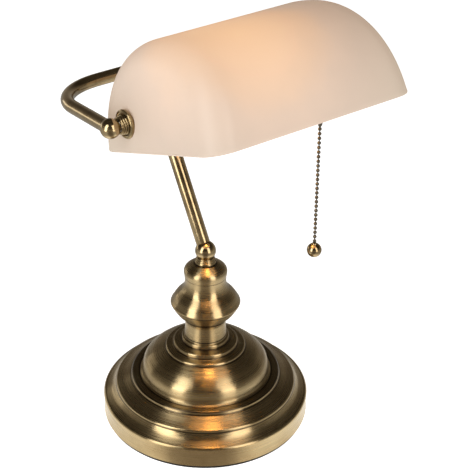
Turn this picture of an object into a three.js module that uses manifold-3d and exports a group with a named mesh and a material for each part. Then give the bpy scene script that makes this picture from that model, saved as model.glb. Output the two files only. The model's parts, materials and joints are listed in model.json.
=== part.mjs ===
// Banker desk lamp: a round stepped base, a turned column, a leaning stem, a yoke that carries an
// opal glass shade, and a pull-chain lampholder inside the shade.
// Millimetres, +Z up. The origin is the middle of the base's underside, and the shade overhangs
// towards -Y.

import * as THREE from "three";
import { mergeVertices } from "three/addons/utils/BufferGeometryUtils.js";
import Module from "manifold-3d";

const wasm = await Module();
wasm.setup();

// ---- driving dimensions ----

const GAP = 0.3; // air between two pieces that touch

const BASE = { rim: 92.3, wall: 1.5, top: 80.6 };
const ROD = { radius: 4.9, bore: 3.4, clearHole: 5.6, bottom: 10.8, top: 163 };
const STEM = { ballZ: 165.1, ballRadius: 9.1, lean: THREE.MathUtils.degToRad(30.45), radius: 6.1, bore: 4.6 };
const HUB = { back: 83.9, radius: 9 };
const YOKE = { halfWidth: 108.1, barHalf: 96.4, bend: 52, radius: 5.5, bore: 4.2, ballRadius: 8 };
const PIVOT = { y: -26.3, z: 322.4 };
const NIPPLE = { radius: 4.9, bore: 3.3, hole: 5.4 };
const SHADE = {
  halfLength: 96.8,
  width: 161,
  height: 81.2,
  ridgeForward: 35.3, // from the pivot to the middle of the glass's width
  rimBelowPivot: 22.75,
  corner: 20,
  draft: 11.2, // how far the end walls lean in towards the ridge
  crown: 1.4, // and how much more of it near the top
  power: 2.34,
  wall: 3.2,
  seat: 91.7, // flat face that each collar bears on, from the middle of the shade
  boss: 88.9,
  tilt: THREE.MathUtils.degToRad(20.3),
};
const CHAIN = {
  x: 65.8,
  forward: 40,
  bead: 1.6,
  pitch: 4.2,
  wire: 0.45,
  mouthZ: 307.6,
  bellTop: 295,
  bellHeight: 5,
  ballZ: 174.3,
  ballRadius: 6.4,
};
const LEAD_RADIUS = 1.5;

const SEGMENTS = { base: 24, column: 20, fitting: 12, small: 10, bore: 14 };

const hub = new THREE.Vector3(0, HUB.back, STEM.ballZ + HUB.back / Math.tan(STEM.lean));
const stemLength = HUB.back / Math.sin(STEM.lean);

// ---- materials ----

const finish = (color, roughness, metalness) =>
  new THREE.MeshStandardMaterial({ color, roughness, metalness });
const brass = finish(0x8a7a55, 0.35, 1);
const bronze = finish(0x5c4a34, 0.4, 1);
const steel = finish(0xb4b4b0, 0.35, 1);
const iron = finish(0x3c3c3c, 0.8, 0.6);
const felt = finish(0x1d1c1a, 0.95, 0);
const rubber = finish(0x26241f, 0.8, 0);
const opalGlass = finish(0xf3e4d2, 0.35, 0);
const bulbGlass = finish(0xfff0d8, 0.3, 0);
const porcelain = finish(0xe8e4da, 0.3, 0);
const cordSheath = finish(0x3a3128, 0.6, 0);

// ---- geometry helpers ----

// One closed surface with merged corners and its faces pointing out.
function closed(geometry) {
  geometry.deleteAttribute("normal");
  geometry.deleteAttribute("uv");
  const merged = mergeVertices(geometry, 1e-4);
  const corner = (i) => new THREE.Vector3().fromBufferAttribute(merged.attributes.position, i);
  const kept = [];
  let volume = 0;
  for (let i = 0; i < merged.index.count; i += 3) {
    const [a, b, c] = merged.index.array.slice(i, i + 3);
    if (a === b || b === c || c === a) continue;
    kept.push(a, b, c);
    volume += corner(a).dot(corner(b).cross(corner(c)));
  }
  if (volume < 0) kept.reverse();
  merged.setIndex(kept);
  merged.computeVertexNormals();
  return merged;
}

// A profile of [radius, height] pairs turned about Z. It closes on itself or ends on the axis.
function turned(profile, segments) {
  const points = profile.map(([r, z]) => new THREE.Vector2(r, z));
  const onAxis = profile[0][0] === 0 && profile.at(-1)[0] === 0;
  if (!onAxis) points.push(points[0].clone());
  return closed(new THREE.LatheGeometry(points, segments).rotateX(Math.PI / 2));
}

// Points of an arc in a profile, from one angle to another in degrees, with 0 pointing outwards.
function arc(r, z, radius, from, to, steps) {
  return Array.from({ length: steps + 1 }, (_, i) => {
    const angle = THREE.MathUtils.degToRad(from + ((to - from) * i) / steps);
    return [r + radius * Math.cos(angle), z + radius * Math.sin(angle)];
  });
}

const ring = (inner, outer, low, high, segments) =>
  turned([[inner, low], [outer, low], [outer, high], [inner, high]], segments);
const rod = (radius, low, high, segments = SEGMENTS.bore) =>
  turned([[0, low], [radius, low], [radius, high], [0, high]], segments);
const hexNut = (low, high) => ring(6, 8.2, low, high, 6);

function tube(path, outer, bore, steps, sides) {
  const round = (radius) =>
    Array.from({ length: sides }, (_, i) => {
      const angle = (2 * Math.PI * i) / sides;
      return new THREE.Vector2(radius * Math.cos(angle), radius * Math.sin(angle));
    });
  const section = new THREE.Shape(round(outer));
  if (bore) section.holes.push(new THREE.Path(round(bore)));
  return closed(new THREE.ExtrudeGeometry(section, { steps, extrudePath: path }));
}

const asManifold = (geometry) =>
  new wasm.Manifold(
    new wasm.Mesh({
      numProp: 3,
      vertProperties: geometry.attributes.position.array,
      triVerts: new Uint32Array(geometry.index.array),
    }),
  );

function asGeometry(solid) {
  const mesh = solid.getMesh();
  const geometry = new THREE.BufferGeometry();
  geometry.setAttribute("position", new THREE.BufferAttribute(mesh.vertProperties, 3));
  geometry.setIndex(new THREE.BufferAttribute(mesh.triVerts, 1));
  geometry.computeVertexNormals();
  return geometry;
}

function cut(body, added, removed) {
  let solid = asManifold(body);
  for (const piece of added) solid = solid.add(asManifold(piece));
  for (const piece of removed) solid = solid.subtract(asManifold(piece));
  return asGeometry(solid);
}

// Turns a geometry whose axis is Z so that the axis lies along a direction.
function along(geometry, direction) {
  const turn = new THREE.Quaternion().setFromUnitVectors(
    new THREE.Vector3(0, 0, 1),
    direction.clone().normalize(),
  );
  return geometry.applyQuaternion(turn);
}

function node(name, geometry, material) {
  const mesh = new THREE.Mesh(geometry, material);
  mesh.name = name;
  return mesh;
}

// ---- base ----

// A rounded step of a turned profile, from its outer foot to where the next step starts.
const step = (r, low, high, inner) => [[r, low], ...arc(r - 1.6, high - 1.6, 1.6, 0, 90, 1), [inner, high + 0.3]];

function baseShell() {
  const outside = [
    [BASE.rim, 3.3],
    [BASE.rim - 0.4, 11],
    [BASE.rim, 19.5],
    ...arc(BASE.rim - 2.8, 19.5, 2.8, 0, 80, 2),
    [84.8, 25.2],
    [81.4, 29.6],
    ...arc(78.9, 30.8, 2, 0, 80, 1),
    [67.4, 38.2],
    ...arc(64.6, 39.6, 2, 0, 90, 2),
    [60.4, 41.6], [59.6, 41], [57.2, 42.6],
    [56.6, 44.6], [56.3, 48], [55.2, 52.4], [53, 56], [49.9, 59], [46.2, 62], [41.4, 64.6], [36.4, 66.8],
    ...step(35.6, 67.4, 69.6, 30),
    ...step(28.6, 70.6, 74.4, 22.6),
    ...step(21, 75.2, 79.2, 18.9),
    [18.9, BASE.top],
  ];
  const inside = [
    [ROD.clearHole, BASE.top],
    [ROD.clearHole, BASE.top - 2],
    [18, 76.8], [20, 73.6], [27, 69.2], [34, 65.6], [40, 63],
    [44.6, 60.8], [48.4, 57.6], [51.4, 54.6], [53.6, 51.2], [54.6, 47.6], [54.8, 43.6],
    [57, 40.2], [62, 39.8], [64.6, 38], [66, 36.6],
    [77.6, 31.2], [79.2, 28.8], [83, 23.6], [88.6, 20.4],
    [BASE.rim - BASE.wall, 18.6],
    [BASE.rim - BASE.wall, 3.3],
  ];
  const shell = turned([...outside, ...inside], SEGMENTS.base);
  const cordHole = rod(5.2, 80, 100).rotateX(-Math.PI / 2).translate(0, 0, 11);
  return cut(shell, [], [cordHole]);
}

const base = new THREE.Group();
base.add(
  node("felt_pad", rod(90.8, 0, 3, SEGMENTS.base), felt),
  node("bottom_plate", ring(12, 89.6, 3.3, 4.5, SEGMENTS.base), steel),
  node("base_weight", ring(6.2, 75, 16.4, 27, SEGMENTS.column), iron),
  node("base_shell", baseShell(), brass),
  node("rod_nut", hexNut(11.4, 14.8), steel),
  node("lock_washer", ring(ROD.clearHole, 10, 15.1, 16.1, SEGMENTS.small), steel),
);

// Rubber bush where the mains cord passes the rear of the base.
const grommet = turned(
  [[3, 88], [4.8, 88], [4.8, 92.9], [7, 92.9], [6.4, 94.4], [3, 94.4]],
  SEGMENTS.fitting,
);
const cordGrommet = node("cord_grommet", grommet, rubber);
cordGrommet.rotation.x = -Math.PI / 2;
cordGrommet.position.z = 11;
base.add(cordGrommet);

// ---- column ----

const columnNeck = turned(
  [
    [18.6, BASE.top + GAP], [18.2, 87], [18, 92], [18.3, 95.5], [19.5, 98.4],
    [22.2, 101.6], [25, 104.2], [27.4, 107.6], [28.9, 110.2], [29.8, 112.2],
    [28.4, 112.2], [25.4, 107], [20.6, 101.4], [16.8, 97], [16.8, 82.6],
    [ROD.clearHole, 82.6], [ROD.clearHole, BASE.top + GAP],
  ],
  SEGMENTS.column,
);

const columnVase = turned(
  [
    [30.2, 112.6], [30.7, 114], [29.9, 115.6], [28.9, 117.2], [27.8, 119.1], [26.4, 121.2],
    [24.6, 123.2], [22.6, 125.2], [20.8, 127.2], [19.5, 129.4], [18.6, 131.8], [18.1, 134.6], [18.35, 140.1],
    [ROD.clearHole, 140.1], [ROD.clearHole, 138.5], [16.7, 138.5], [16.7, 131.6],
    [18.2, 128.4], [22, 123.4], [26, 118.8], [28.8, 113.8], [28.8, 112.6],
  ],
  SEGMENTS.column,
);

const columnCap = turned(
  [
    [18.4, 140.4], [18.8, 143], [18.95, 145.2], [18.5, 147], [17.4, 148.7], [15.4, 150.3], [12.8, 151.9],
    [9.9, 153.3], [ROD.clearHole, 153.3], [ROD.clearHole, 151.7], [9.4, 151.4], [13, 149.8],
    [15.6, 147.8], [17, 145.2], [17, 140.4],
  ],
  SEGMENTS.column,
);

const ringCollar = turned(
  [
    [ROD.clearHole, 153.6], [9.1, 153.6], [9.4, 154.6], [9, 155.4], [7.8, 155.6], [8.5, 156.4], [8.3, 157.3],
    [7.5, 157.6], [8, 158.4], [7.6, 159.3], [ROD.clearHole, 159.3],
  ],
  SEGMENTS.fitting,
);

const ball = (radius) => closed(new THREE.SphereGeometry(radius, 14, 10).rotateX(Math.PI / 2));

// The stem's ball, threaded onto the rod below and bored for the stem above.
function stemBall() {
  const lean = new THREE.Vector3(0, Math.sin(STEM.lean), Math.cos(STEM.lean));
  return cut(ball(STEM.ballRadius), [], [
    rod(12, -12, 159.6 - STEM.ballZ),
    rod(ROD.radius + GAP, -12, ROD.top + GAP - STEM.ballZ),
    rod(3.8, -12, 1),
    along(rod(STEM.radius + GAP, 6.6, 14), lean),
    along(rod(4.2, -0.5, 14), lean),
  ]);
}

const column = new THREE.Group();
column.add(
  node("threaded_rod", ring(ROD.bore, ROD.radius, ROD.bottom, ROD.top, SEGMENTS.small), steel),
  node("column_neck", columnNeck, brass),
  node("column_vase", columnVase, brass),
  node("column_cap", columnCap, brass),
  node("ring_collar", ringCollar, brass),
);
const stemBallNode = node("stem_ball", stemBall(), brass);
stemBallNode.position.z = STEM.ballZ;
column.add(stemBallNode);

// ---- stem and yoke ----

const stem = new THREE.Group();
stem.position.z = STEM.ballZ;
stem.rotation.x = -STEM.lean;
stem.add(node("stem_tube", ring(STEM.bore, STEM.radius, 6.9, stemLength - 7, SEGMENTS.fitting), brass));

// Centre line of one yoke arm: out along the bar, round the bend and forward to the end ball.
function armCorner(side) {
  return new THREE.Vector3(side * YOKE.barHalf, hub.y, hub.z);
}

function armPath(side) {
  const corner = armCorner(side);
  const end = new THREE.Vector3(side * YOKE.halfWidth, PIVOT.y, PIVOT.z);
  const alongBar = hub.clone().sub(corner).normalize();
  const alongArm = end.clone().sub(corner).normalize();
  const half = alongBar.angleTo(alongArm) / 2;
  const tangent = YOKE.bend / Math.tan(half);
  const toCentre = alongBar.clone().add(alongArm).setLength(YOKE.bend / Math.sin(half));
  const centre = corner.clone().add(toCentre);
  const first = corner.clone().addScaledVector(alongBar, tangent).sub(centre);
  const last = corner.clone().addScaledVector(alongArm, tangent).sub(centre);
  const sweep = Math.PI - 2 * half;
  const bend = Array.from({ length: 9 }, (_, i) =>
    centre
      .clone()
      .addScaledVector(first, Math.sin(sweep * (1 - i / 8)) / Math.sin(sweep))
      .addScaledVector(last, Math.sin((sweep * i) / 8) / Math.sin(sweep)),
  );
  const path = new THREE.CurvePath();
  path.add(new THREE.LineCurve3(hub.clone().addScaledVector(alongBar, -7.1), bend[0]));
  path.add(new THREE.CatmullRomCurve3(bend));
  path.add(new THREE.LineCurve3(bend.at(-1), end.clone().addScaledVector(alongArm, -6)));
  return path;
}

function yokeHub() {
  const x = new THREE.Vector3(1, 0, 0);
  const down = new THREE.Vector3(0, -Math.sin(STEM.lean), -Math.cos(STEM.lean));
  return cut(ball(HUB.radius), [], [
    along(rod(YOKE.radius + GAP, 6.8, 12), x),
    along(rod(YOKE.radius + GAP, -12, -6.8), x),
    along(rod(YOKE.bore, -12, 12), x),
    along(rod(STEM.radius + GAP, 6.6, 12), down),
    along(rod(STEM.bore, 0, 12), down),
  ]);
}

// The end ball, bored for the arm behind it and for the nipple that points into the shade.
function yokeBall(side) {
  const inward = new THREE.Vector3(-side, 0, 0);
  const toArm = armCorner(side).sub(new THREE.Vector3(side * YOKE.halfWidth, PIVOT.y, PIVOT.z));
  return cut(ball(YOKE.ballRadius), [], [
    along(rod(YOKE.radius + GAP, 5.7, 12), toArm),
    along(rod(3.9, 0, 12), toArm),
    along(rod(12, 6.1, 12), inward),
    along(rod(NIPPLE.radius + GAP, -2.2, 12), inward),
  ]);
}

const yoke = new THREE.Group();
const hubNode = node("yoke_hub", yokeHub(), brass);
hubNode.position.copy(hub);
yoke.add(hubNode);

const SIDES = [["left", -1], ["right", 1]];
for (const [name, side] of SIDES) {
  yoke.add(node(`yoke_arm_${name}`, tube(armPath(side), YOKE.radius, YOKE.bore, 18, 8), brass));
  const end = node(`yoke_ball_${name}`, yokeBall(side), brass);
  end.position.set(side * YOKE.halfWidth, PIVOT.y, PIVOT.z);
  yoke.add(end);
}

// ---- clamping hardware on the pivot axis, drawn along Z and turned to each side ----

const collarProfile = [
  [NIPPLE.hole, 92.8], [10.2, 92.8], [11, 93.4], [11.4, 94.6], [11.1, 95.9], [10.3, 96.6],
  [9.3, 96.3], [8.6, 94.6], [NIPPLE.hole, 94.5],
];
const spacerProfile = [
  [NIPPLE.hole, 94.8], [7.4, 94.8], [7.6, 96.2], [6.6, 96.9], [7.4, 97.8], [7.4, 98.6],
  [6.3, 99.3], [6.9, 100.2], [6.9, 101], [6.2, 101.7], [NIPPLE.hole, 101.7],
];

for (const [name, side] of SIDES) {
  const stack = new THREE.Group();
  stack.position.set(0, PIVOT.y, PIVOT.z);
  stack.rotation.y = (side * Math.PI) / 2;
  const nippleEnd = side < 0 ? 81.5 : 80;
  stack.add(
    node(`nipple_${name}`, ring(NIPPLE.bore, NIPPLE.radius, nippleEnd, 103.7, SEGMENTS.small), steel),
    node(`spacer_${name}`, turned(spacerProfile, SEGMENTS.fitting), brass),
    node(`collar_${name}`, turned(collarProfile, SEGMENTS.fitting), brass),
    node(`gasket_outer_${name}`, ring(NIPPLE.hole, 9.6, 92, 92.5, SEGMENTS.small), rubber),
    node(`gasket_inner_${name}`, ring(NIPPLE.hole, 9.6, 88.1, 88.6, SEGMENTS.small), rubber),
    node(`washer_${name}`, ring(NIPPLE.hole, 10.4, 86.9, 87.8, SEGMENTS.small), steel),
    node(`nut_${name}`, hexNut(83.4, 86.6), steel),
  );
  yoke.add(stack);
}

// ---- shade ----

// A half barrel with rounded ends. less thins it evenly, and drop lengthens it below the rim.
function barrel(less, drop) {
  const halfWidth = SHADE.width / 2 - less;
  const height = SHADE.height - less;
  const corner = SHADE.corner - less;
  const around = 18;
  const bends = 4;
  const loops = [];
  for (const side of [-1, 1]) {
    for (let i = 0; i <= bends; i++) {
      const angle = (Math.PI / 2) * (side < 0 ? 1 - i / bends : i / bends);
      const inset = corner * (1 - Math.cos(angle));
      const back = less + corner * (1 - Math.sin(angle));
      const loop = [];
      for (let k = 0; k <= around; k++) {
        const t = (Math.PI * k) / around;
        const c = Math.cos(t);
        const rise = (height - inset) * Math.sin(t) ** (2 / SHADE.power);
        const z = k === 0 || k === around ? -drop : rise;
        const y = -Math.sign(c) * (halfWidth - inset) * Math.abs(c) ** (2 / SHADE.power);
        const share = Math.max(z, 0) / SHADE.height;
        const x = side * (SHADE.halfLength - back - SHADE.draft * share - SHADE.crown * share ** 2);
        loop.push(new THREE.Vector3(x, y - SHADE.ridgeForward, z - SHADE.rimBelowPivot));
      }
      loops.push(loop);
    }
  }
  const positions = loops.flat().flatMap((p) => p.toArray());
  const width = around + 1;
  const index = [];
  for (let i = 0; i + 1 < loops.length; i++) {
    for (let k = 0; k < width; k++) {
      const [a, b] = [i * width + k, i * width + ((k + 1) % width)];
      index.push(a, b, b + width, a, b + width, a + width);
    }
  }
  // Each end wall is strips between points of equal height.
  for (const [first, flip] of [[0, false], [(loops.length - 1) * width, true]]) {
    for (let k = 0; k < around / 2; k++) {
      const [a, b, c, d] = [first + k, first + k + 1, first + around - k - 1, first + around - k];
      const strip = [a, d, c, a, c, b];
      index.push(...(flip ? strip.reverse() : strip));
    }
  }
  const geometry = new THREE.BufferGeometry();
  geometry.setAttribute("position", new THREE.Float32BufferAttribute(positions, 3));
  geometry.setIndex(index);
  return closed(geometry);
}

function shadeGlass() {
  const bosses = [];
  const holes = [];
  for (const [, side] of SIDES) {
    const outward = new THREE.Vector3(side, 0, 0);
    bosses.push(along(rod(14.5, SHADE.boss, SHADE.seat), outward));
    holes.push(along(rod(11.7, SHADE.seat, 110, SEGMENTS.column), outward));
    holes.push(along(rod(NIPPLE.hole + 0.2, 70, 110), outward));
  }
  return cut(cut(barrel(0, 0), [], [barrel(SHADE.wall, 4)]), bosses, holes);
}

const shade = node("shade", shadeGlass(), opalGlass);
shade.position.set(0, PIVOT.y, PIVOT.z);
shade.rotation.x = -SHADE.tilt;

// ---- lampholder and bulb, drawn along Z and turned to the right-hand side ----

const holder = new THREE.Group();
holder.position.set(0, PIVOT.y, PIVOT.z);
holder.rotation.y = Math.PI / 2;

const holderCap = turned(
  [
    [19, 58.4], [19, 72], ...arc(12, 75.4, 7, 0, 80, 3), [NIPPLE.hole, 82.8],
    [NIPPLE.hole, 81.6], [12, 81.2], [17.8, 75.4], [17.8, 58.4],
  ],
  SEGMENTS.column,
);
const holderShell = turned(
  [
    [18.2, 36], [18.2, 54], [19.2, 55.4], [19.2, 57.4], [18.2, 58.1],
    [17.2, 58.1], [17.2, 36],
  ],
  SEGMENTS.column,
);
const threadRings = (outer, inner, low, high, pitch) => {
  const outline = [];
  for (let z = low; z + pitch <= high; z += pitch) outline.push([outer, z + 0.4], [inner, z + pitch / 2 + 0.4]);
  return outline;
};
const screwShell = turned(
  [[15, 38.6], ...threadRings(14.8, 14.2, 39, 56, 4), [14.6, 56.4], [13.6, 56.4], [13.6, 38.6]],
  SEGMENTS.fitting,
);
const bulbCap = turned(
  [
    [0, 56.4], [3.6, 56.4], [3.6, 55.4], [9, 54], ...threadRings(13.1, 12.5, 30.6, 53, 4).reverse(),
    [12.9, 29.6], [12.1, 29.6], [11.6, 50], [0, 51],
  ],
  SEGMENTS.fitting,
);
const bulbGlassShape = turned(
  [
    [11.4, 34], [11.8, 29.4], ...arc(0, 6, 22.4, 50, -90, 8).map(([r, z]) => [r < 0.01 ? 0 : r, z]),
    ...arc(0, 6, 21.5, -90, 48, 6).map(([r, z]) => [r < 0.01 ? 0 : r, z]), [10.9, 29.4], [10.6, 34],
  ],
  SEGMENTS.fitting,
);

holder.add(
  node("holder_cap", holderCap, brass),
  node("holder_shell", holderShell, brass),
  node("switch_block", ring(3.6, 15.6, 60.4, 74, SEGMENTS.fitting), porcelain),
  node("holder_insulator", ring(15.4, 16.8, 37.4, 58, SEGMENTS.fitting), porcelain),
  node("screw_shell", screwShell, brass),
  node("centre_contact", rod(4.6, 57.2, 58.6, SEGMENTS.small), brass),
  node("bulb_cap", bulbCap, steel),
  node("bulb_glass", bulbGlassShape, bulbGlass),
);

// ---- pull chain ----

const chainY = PIVOT.y - CHAIN.forward;

// Elbow that leads the chain out of the lampholder, with a flared mouth facing down.
function chainGuide() {
  const bend = 6.5;
  const reach = 19.6;
  const route = [new THREE.Vector3(0, CHAIN.forward - reach, PIVOT.z), new THREE.Vector3(0, bend, PIVOT.z)];
  for (let i = 1; i <= 6; i++) {
    const angle = (Math.PI / 2) * (i / 6);
    route.push(new THREE.Vector3(0, bend * (1 - Math.sin(angle)), PIVOT.z - bend * (1 - Math.cos(angle))));
  }
  route.push(new THREE.Vector3(0, 0, CHAIN.mouthZ + 2.4));
  const path = new THREE.CatmullRomCurve3(route, false, "centripetal");
  const mouth = turned(
    [
      [3, CHAIN.mouthZ + 3.4], [4, CHAIN.mouthZ + 3.4], [4.4, CHAIN.mouthZ + 1.8], [5.6, CHAIN.mouthZ + 0.4],
      [5.4, CHAIN.mouthZ], [4.8, CHAIN.mouthZ], [3.2, CHAIN.mouthZ + 1.6],
    ],
    SEGMENTS.fitting,
  );
  return cut(tube(path, 4, 3, 9, 8), [mouth], [rod(3, CHAIN.mouthZ + 1, CHAIN.mouthZ + 3.5)]);
}

// A run of beads on a wire. The first bead's centre is at height high, and each end is a bead.
function beads(high, count) {
  const outline = [];
  const touch = Math.asin(CHAIN.wire / CHAIN.bead);
  for (let i = 0; i < count; i++) {
    const centre = high - i * CHAIN.pitch;
    for (const share of [0, 0.33, 0.67, 1]) {
      const atEnd = (i === 0 && share === 0) || (i === count - 1 && share === 1);
      const angle = atEnd ? Math.PI * share : touch + (Math.PI - 2 * touch) * share;
      const radius = atEnd ? 0 : CHAIN.bead * Math.sin(angle);
      outline.push([radius, centre + CHAIN.bead * Math.cos(angle)]);
    }
  }
  return turned(outline, 5);
}

const firstBead = CHAIN.mouthZ + 5.4;
const linkBead = firstBead - 2 * CHAIN.pitch;

// A run of beads from just below one height to just above another.
function beadsBetween(top, bottom) {
  const count = Math.floor((top - bottom - 2 * CHAIN.bead) / CHAIN.pitch) + 1;
  return { shape: beads(top - CHAIN.bead, count), end: top - 2 * CHAIN.bead - (count - 1) * CHAIN.pitch };
}

const upperRun = beadsBetween(linkBead - CHAIN.bead - GAP, CHAIN.bellTop);
// The bell that clips the two lengths of chain together, narrow end down.
const bellTop = upperRun.end - GAP;
const bellFoot = bellTop - CHAIN.bellHeight;
const chainBell = turned(
  [[0, bellTop], [1.9, bellTop], [2.1, bellTop - 1.2], [1.8, bellTop - 3], [0.9, bellFoot], [0, bellFoot]],
  SEGMENTS.small,
);
const lowerRun = beadsBetween(bellFoot - GAP, CHAIN.ballZ + CHAIN.ballRadius + 0.6);
const ballNeck = lowerRun.end - GAP;
const chainBall = turned(
  [
    [0, ballNeck], [1.8, ballNeck], [2, ballNeck - 1.1],
    ...arc(0, CHAIN.ballZ, CHAIN.ballRadius, 66, -90, 6).map(([r, z]) => [r < 0.01 ? 0 : r, z]),
  ],
  SEGMENTS.small,
);

const chain = new THREE.Group();
chain.position.set(CHAIN.x, chainY, 0);
chain.add(
  node("chain_guide", chainGuide(), brass),
  node("chain_upper", beads(firstBead, 2), bronze),
  node("chain_link", beads(linkBead, 1), bronze),
  node("lead_chain", upperRun.shape, bronze),
  node("chain_bell", chainBell, bronze),
  node("pull_chain", lowerRun.shape, bronze),
  node("chain_ball", chainBall, bronze),
);

// ---- wiring ----

// The flex inside the lamp: from the grommet up the rod, the stem and the right arm to the holder.
function innerLead() {
  const up = new THREE.Vector3(0, Math.sin(STEM.lean), Math.cos(STEM.lean));
  const onStem = (distance) => new THREE.Vector3(0, 0, STEM.ballZ).addScaledVector(up, distance);
  const points = [
    [0, 92, 11], [0, 84, 10.4], [0, 70, 7.8], [0, 45, 7], [0, 20, 6.9], [0, 8, 7], [0, 2.4, 9],
    [0, 0.3, 13.4], [0, 0, 20], [0, 0, 60], [0, 0, 110], [0, 0, 150], [0, 0.2, 160],
  ].map((p) => new THREE.Vector3(...p));
  for (const distance of [3, 12, 50, 90, 130, stemLength - 12, stemLength - 4]) points.push(onStem(distance));
  const arm = armPath(1);
  points.push(hub.clone().add(new THREE.Vector3(3.4, 0.2, 0.2)));
  for (let i = 0; i <= 14; i++) points.push(arm.getPointAt(0.03 + (0.94 * i) / 14));
  points.push(
    new THREE.Vector3(YOKE.halfWidth + 0.6, PIVOT.y + 2.4, PIVOT.z),
    new THREE.Vector3(YOKE.halfWidth - 1.6, PIVOT.y, PIVOT.z),
    new THREE.Vector3(YOKE.halfWidth - 6, PIVOT.y, PIVOT.z),
    new THREE.Vector3(94, PIVOT.y, PIVOT.z),
    new THREE.Vector3(77, PIVOT.y, PIVOT.z),
  );
  return tube(new THREE.CatmullRomCurve3(points, false, "centripetal"), LEAD_RADIUS, 0, 110, 5);
}

const lamp = new THREE.Group();
lamp.add(base, column, stem, yoke, shade, holder, chain);
lamp.add(node("inner_lead", innerLead(), cordSheath));

export default lamp;
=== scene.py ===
"""Looks for the banker desk lamp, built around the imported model.

Sizes are in millimetres until a mesh is made, which turns them into metres. Z is up, and the shade
overhangs towards -Y.
"""

import json
import math

import bmesh
import bpy
from mathutils import Matrix, Vector


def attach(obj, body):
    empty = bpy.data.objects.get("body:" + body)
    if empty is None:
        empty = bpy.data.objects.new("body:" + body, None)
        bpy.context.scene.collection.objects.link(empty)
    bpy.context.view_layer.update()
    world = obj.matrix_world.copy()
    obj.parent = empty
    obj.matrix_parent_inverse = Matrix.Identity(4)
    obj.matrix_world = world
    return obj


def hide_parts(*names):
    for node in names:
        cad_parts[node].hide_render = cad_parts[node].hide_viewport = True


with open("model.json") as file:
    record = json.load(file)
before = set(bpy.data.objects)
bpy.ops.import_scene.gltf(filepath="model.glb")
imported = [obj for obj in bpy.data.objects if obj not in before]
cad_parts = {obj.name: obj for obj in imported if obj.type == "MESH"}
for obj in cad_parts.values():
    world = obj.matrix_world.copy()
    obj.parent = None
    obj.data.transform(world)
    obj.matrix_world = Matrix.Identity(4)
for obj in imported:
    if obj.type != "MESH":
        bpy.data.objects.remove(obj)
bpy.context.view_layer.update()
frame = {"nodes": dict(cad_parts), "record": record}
scene = bpy.context.scene

MM = 0.001
SAME_POINT = 1e-6  # two points of a profile or a mesh nearer than this, in its own unit, count as one
ON_AXIS = 1e-5  # a radius below this is a point on the axis
CLEAR_CORNER = math.radians(158)  # a profile's corner flatter than this stays as it is
BODY_OF = {n: b for b, nodes in frame["record"]["behaviour"]["bodies"].items() for n in nodes}

# ---- dimensions, as in the model ----

GAP = 0.3
BASE = dict(rim=92.3, wall=1.5, top=80.6)
ROD = dict(radius=4.9, bore=3.4, clear=5.6, bottom=10.8, top=163.0)
STEM = dict(ball_z=165.1, ball=9.1, lean=math.radians(30.45), radius=6.1, bore=4.6)
HUB = dict(back=83.9, radius=9.0)
YOKE = dict(half=108.1, bar_half=96.4, bend=52.0, radius=5.5, bore=4.2, ball=8.0)
PIVOT = Vector((0, -26.3, 322.4))
NIPPLE = dict(radius=4.9, bore=3.3, hole=5.4)
SHADE = dict(
    half_length=96.8,
    width=161.0,
    height=81.2,
    ridge=35.3,
    rim=22.75,
    corner=20.0,
    draft=11.2,
    crown=1.4,
    power=2.34,
    wall=3.2,
    seat=91.7,
    boss=88.9,
    tilt=math.radians(20.3),
)
CHAIN = dict(
    x=65.8,
    forward=40.0,
    bead=1.6,
    pitch=4.2,
    wire=0.45,
    mouth=307.6,
    bell=5.0,
    ball_z=174.3,
    ball=6.4,
)

LEAN = Vector((0, math.sin(STEM["lean"]), math.cos(STEM["lean"])))
HUB_CENTRE = Vector((0, HUB["back"], STEM["ball_z"] + HUB["back"] / math.tan(STEM["lean"])))
STEM_LENGTH = HUB["back"] / math.sin(STEM["lean"])

# ---- camera ----

# Angles are in degrees, the distance in metres, and the focal length and image width in pixels.
CAMERA = dict(azimuth=-37.82, elevation=30.2, roll=0.753, distance=1.2076, focal=1384.85, image=470)
CAMERA_TARGET = Vector((0.03221, 0.00044, 0.16917))


def heading(azimuth, elevation):
    """A direction away from the lamp, in degrees, with the azimuth counted from -Y towards +X."""
    a, e = math.radians(azimuth), math.radians(elevation)
    return Vector((math.sin(a) * math.cos(e), -math.cos(a) * math.cos(e), math.sin(e)))


def put_in_scene(name, data):
    made = bpy.data.objects.new(name, data)
    scene.collection.objects.link(made)
    return made


def add_camera():
    back = heading(CAMERA["azimuth"], CAMERA["elevation"])
    a, roll = math.radians(CAMERA["azimuth"]), math.radians(CAMERA["roll"])
    level = Vector((math.cos(a), math.sin(a), 0))
    up = back.cross(level)
    right = math.cos(roll) * level + math.sin(roll) * up
    data = bpy.data.cameras.new("camera")
    data.lens = CAMERA["focal"] / CAMERA["image"] * data.sensor_width
    data.clip_end = 50
    camera = put_in_scene("camera", data)
    turn = Matrix((right, back.cross(right), back)).transposed().to_4x4()
    camera.matrix_world = Matrix.Translation(CAMERA_TARGET + CAMERA["distance"] * back) @ turn
    scene.camera = camera


add_camera()

# ---- node helpers ----


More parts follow.
